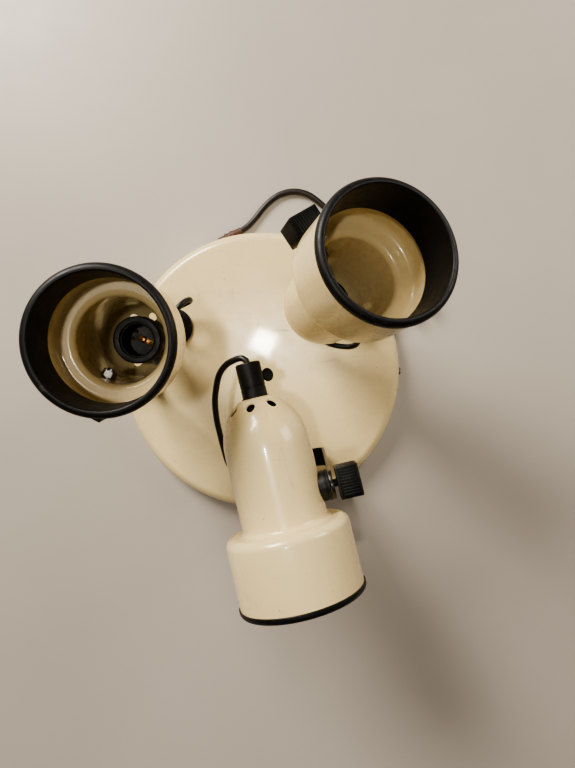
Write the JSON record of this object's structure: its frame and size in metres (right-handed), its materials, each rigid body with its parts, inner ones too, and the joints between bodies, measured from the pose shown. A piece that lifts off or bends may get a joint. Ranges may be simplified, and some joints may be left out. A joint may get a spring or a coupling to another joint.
{
  "type": "three-spot ceiling light",
  "caption": "Round canopy with swivelling strap arms that carry tilting spot heads, each with a screw lampholder, an anti-glare ring and a clamp knob.",
  "frame": {"origin": "centre of the canopy's back face, where the mounting bar meets the ceiling or wall", "axes": "+Z away from the ceiling, out through the canopy's face; +X along the mounting bar; +Y across it"},
  "size_m": [0.3275, 0.3722, 0.254],
  "materials": {
    "cream_enamel": "gloss",
    "black_enamel": "satin",
    "black_plastic": "satin",
    "black_flex": "satin",
    "lead_pvc": "satin",
    "brown_rubber": "matte",
    "zinc_steel": "satin",
    "brass": "satin",
    "white_plastic": "satin"
  },
  "bodies": {
    "root": {"base_dish": "cream_enamel", "mounting_bar": "zinc_steel", "bar_side_screws": "zinc_steel", "pan_stems": "zinc_steel", "stem_back_nuts": "zinc_steel", "stem_top_nuts": "black_enamel", "stem_bushes": "black_plastic", "terminal_block": "white_plastic", "terminal_screws": "brass", "earth_tag": "brass", "cord_clamp": "white_plastic", "inner_wiring": "brown_rubber", "lead_sleeve": "brown_rubber", "supply_lead": "lead_pvc", "supply_coil": "lead_pvc", "supply_plug": "lead_pvc", "plug_pins": "zinc_steel"},
    "arm_1": {"foot_disc_1": "black_enamel", "arm_strap_1": "black_enamel", "head_flex_1": "black_flex"},
    "head_1": {"shade_1": "cream_enamel", "baffle_ring_1": "black_plastic", "lampholder_1": "black_plastic", "thread_shell_1": "brass", "contact_tongue_1": "brass", "holder_nipple_1": "zinc_steel", "cord_grip_1": "black_plastic", "hinge_bolt_1": "zinc_steel", "hinge_boss_1": "black_plastic"},
    "knob_1": {"clamp_knob_1": "black_plastic"},
    "grip_screw_1": {"thumbscrew_1": "black_plastic"},
    "arm_2": {"foot_disc_2": "black_enamel", "arm_strap_2": "black_enamel", "head_flex_2": "black_flex"},
    "head_2": {"shade_2": "cream_enamel", "baffle_ring_2": "black_plastic", "lampholder_2": "black_plastic", "thread_shell_2": "brass", "contact_tongue_2": "brass", "holder_nipple_2": "zinc_steel", "cord_grip_2": "black_plastic", "hinge_bolt_2": "zinc_steel", "hinge_boss_2": "black_plastic"},
    "knob_2": {"clamp_knob_2": "black_plastic"},
    "grip_screw_2": {"thumbscrew_2": "black_plastic"},
    "arm_3": {"foot_disc_3": "black_enamel", "arm_strap_3": "black_enamel", "head_flex_3": "black_flex"},
    "head_3": {"shade_3": "cream_enamel", "baffle_ring_3": "black_plastic", "lampholder_3": "black_plastic", "thread_shell_3": "brass", "contact_tongue_3": "brass", "holder_nipple_3": "zinc_steel", "cord_grip_3": "black_plastic", "hinge_bolt_3": "zinc_steel", "hinge_boss_3": "black_plastic"},
    "knob_3": {"clamp_knob_3": "black_plastic"},
    "grip_screw_3": {"thumbscrew_3": "black_plastic"}
  },
  "joints": [
    {"name": "arm_swivel_1", "type": "hinge", "parent": "root", "child": "arm_1", "pos_m": [-0.08732, 0.04449, 0.03], "axis": [0, 0, 1], "range_deg": [-70, 70]},
    {"name": "head_tilt_1", "type": "hinge", "parent": "arm_1", "child": "head_1", "pos_m": [-0.116, -0.009, 0.16], "axis": [-0.4726, -0.8813, 0], "range_deg": [-30, 40], "deforming": ["head_flex_1"]},
    {"name": "clamp_knob_turn_1", "type": "hinge", "parent": "head_1", "child": "knob_1", "pos_m": [-0.12418, -0.02425, 0.16], "axis": [-0.4726, -0.8813, 0], "range_deg": [-20, 340]},
    {"name": "grip_screw_turn_1", "type": "hinge", "parent": "head_1", "child": "grip_screw_1", "pos_m": [-0.10855, 0.0285, 0.06454], "axis": [-0.9274, -0.372, 0.0404], "range_deg": [0, 350]},
    {"name": "arm_swivel_2", "type": "hinge", "parent": "root", "child": "arm_2", "pos_m": [0.00513, -0.09787, 0.03], "axis": [0, 0, 1], "range_deg": [-70, 70]},
    {"name": "head_tilt_2", "type": "hinge", "parent": "arm_2", "child": "head_2", "pos_m": [0.06408, -0.08339, 0.16], "axis": [0.9711, 0.2385, 0], "range_deg": [-108.2, 5.4], "deforming": ["head_flex_2"]},
    {"name": "clamp_knob_turn_2", "type": "hinge", "parent": "head_2", "child": "knob_2", "pos_m": [0.08088, -0.07926, 0.16], "axis": [0.9711, 0.2385, 0], "range_deg": [-20, 340]},
    {"name": "grip_screw_turn_2", "type": "hinge", "parent": "head_2", "child": "grip_screw_2", "pos_m": [0.00588, 0.00021, 0.14585], "axis": [0.7584, 0.124, -0.6399], "range_deg": [0, 350]},
    {"name": "arm_swivel_3", "type": "hinge", "parent": "root", "child": "arm_3", "pos_m": [0.08219, 0.05337, 0.03], "axis": [0, 0, 1], "range_deg": [-70, 70]},
    {"name": "head_tilt_3", "type": "hinge", "parent": "arm_3", "child": "head_3", "pos_m": [0.04869, 0.10399, 0.16], "axis": [-0.5519, 0.8339, 0], "range_deg": [-51.4, 36.6], "deforming": ["head_flex_3"]},
    {"name": "clamp_knob_turn_3", "type": "hinge", "parent": "head_3", "child": "knob_3", "pos_m": [0.03914, 0.11842, 0.16], "axis": [-0.5519, 0.8339, 0], "range_deg": [-20, 340]},
    {"name": "grip_screw_turn_3", "type": "hinge", "parent": "head_3", "child": "grip_screw_3", "pos_m": [0.04393, 0.05699, 0.06866], "axis": [0.0769, 0.9696, -0.2324], "range_deg": [0, 350]}
  ]
}
